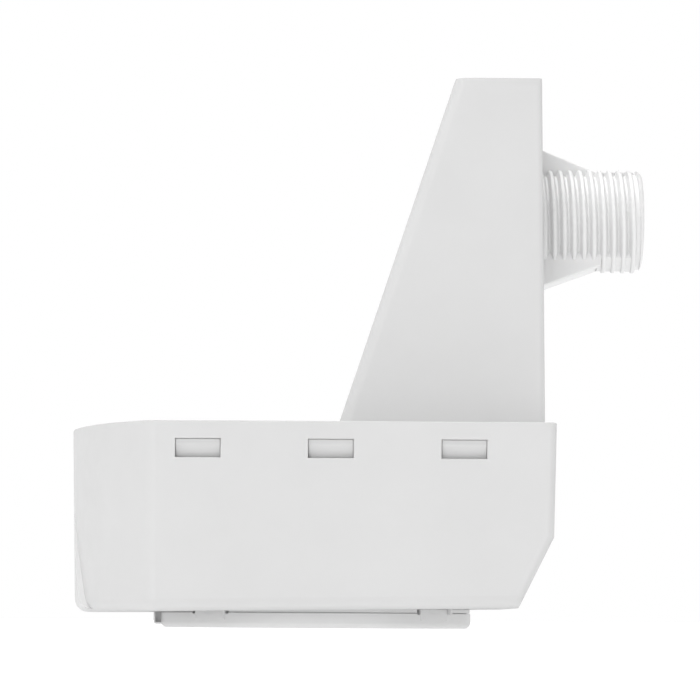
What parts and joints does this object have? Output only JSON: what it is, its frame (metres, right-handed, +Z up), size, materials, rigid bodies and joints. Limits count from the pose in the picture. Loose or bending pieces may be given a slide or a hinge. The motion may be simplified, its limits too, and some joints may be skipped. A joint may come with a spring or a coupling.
{
  "type": "fixture mount motion sensor",
  "caption": "White fixture-mount motion sensor: shallow bow-fronted housing, twist-lock lens ring underneath, and a tapered riser carrying a threaded, gusseted wiring nipple.",
  "frame": {"origin": "middle of the underside of the whole part, on the plane that the lens ring's rim lies in", "axes": "+X towards the back, out along the wiring nipple; +Z up, from the lens towards the riser's top; +Y across the housing"},
  "size_m": [0.111, 0.084, 0.1054],
  "materials": {
    "shell": "white moulded plastic, fine satin",
    "inner_white": "white moulded plastic, plain",
    "ring": "white moulded plastic, satin",
    "lens": "milky polyethylene with moulded lens cells",
    "board": "green solder mask over glass laminate",
    "black_moulding": "black moulded plastic",
    "dark_filter": "dark infrared filter window",
    "capacitor_sleeve": "shrink sleeve",
    "blue_moulding": "blue moulded plastic or epoxy dip",
    "film_case": "yellow film capacitor case",
    "red_moulding": "red moulded plastic",
    "led_lens": "tinted epoxy",
    "clear_window": "clear epoxy over a ceramic disc",
    "steel": "plated steel",
    "brass": "tinned brass",
    "copper": "enamelled copper winding",
    "ferrite": "ferrite under dark sleeve"
  },
  "bodies": {
    "sensor_body": {"front_housing": "shell", "riser_cover": "shell", "wiring_nipple": "shell", "control_plate": "inner_white", "sensor_board": "board", "power_board": "board", "board_spacer_front_left": "black_moulding", "board_spacer_front_right": "black_moulding", "board_spacer_back_left": "black_moulding", "board_spacer_back_right": "black_moulding", "board_header": "black_moulding", "pir_holder": "black_moulding", "photocell_shroud": "black_moulding", "setup_button_base": "black_moulding", "relay_case": "black_moulding", "relay_base": "black_moulding", "line_fuse": "black_moulding", "bridge_rectifier": "black_moulding", "pir_filter": "dark_filter", "bulk_capacitor": "capacitor_sleeve", "time_dial_base": "blue_moulding", "light_dial_base": "blue_moulding", "surge_varistor": "blue_moulding", "line_capacitor": "film_case", "dip_switch_body": "red_moulding", "indicator_led": "led_lens", "photocell": "clear_window", "board_screw_front_left": "steel", "board_screw_front_right": "steel", "board_screw_back_left": "steel", "board_screw_back_right": "steel", "pir_can": "steel", "relay_yoke": "steel", "moving_contact_blade": "brass", "fixed_contact_blade": "brass", "line_tab": "brass", "neutral_tab": "brass", "load_tab": "brass", "relay_coil": "copper", "power_inductor": "ferrite"},
    "lens_cover": {"lens_ring": "ring", "fresnel_lens": "lens"},
    "button": {"setup_button": "black_moulding"},
    "dip_1": {"dip_slider_1": "inner_white"},
    "dip_2": {"dip_slider_2": "inner_white"},
    "dip_3": {"dip_slider_3": "inner_white"},
    "dip_4": {"dip_slider_4": "inner_white"},
    "time_rotor": {"time_dial": "inner_white"},
    "light_rotor": {"light_dial": "inner_white"},
    "armature": {"relay_armature": "steel"}
  },
  "joints": [
    {"name": "lens_ring_twist", "type": "hinge", "parent": "sensor_body", "child": "lens_cover", "pos_m": [-0.008, 0, 0.0035], "axis": [0, 0, 1], "range_deg": [0, 25]},
    {"name": "setup_button_press", "type": "slide", "parent": "sensor_body", "child": "button", "axis": [0, 0, 1], "range_m": [0, 0.0004], "stiffness_N_per_m": 300, "springref_m": -0.0015},
    {"name": "dip_slider_1_slide", "type": "slide", "parent": "sensor_body", "child": "dip_1", "axis": [0, 1, 0], "range_m": [0, 0.0016]},
    {"name": "dip_slider_2_slide", "type": "slide", "parent": "sensor_body", "child": "dip_2", "axis": [0, 1, 0], "range_m": [0, 0.0016]},
    {"name": "dip_slider_3_slide", "type": "slide", "parent": "sensor_body", "child": "dip_3", "axis": [0, 1, 0], "range_m": [0, 0.0016]},
    {"name": "dip_slider_4_slide", "type": "slide", "parent": "sensor_body", "child": "dip_4", "axis": [0, 1, 0], "range_m": [0, 0.0016]},
    {"name": "time_dial_turn", "type": "hinge", "parent": "sensor_body", "child": "time_rotor", "pos_m": [-0.0215, 0.005, 0.0104], "axis": [0, 0, 1], "range_deg": [-135, 135]},
    {"name": "light_dial_turn", "type": "hinge", "parent": "sensor_body", "child": "light_rotor", "pos_m": [0.0055, 0.005, 0.0104], "axis": [0, 0, 1], "range_deg": [-135, 135]},
    {"name": "relay_armature_rock", "type": "hinge", "parent": "sensor_body", "child": "armature", "pos_m": [0.0195, 0, 0.0342], "axis": [0, -1, 0], "range_deg": [0, 4], "stiffness_Nm_per_rad": 0.01, "springref_deg": -11.46}
  ]
}
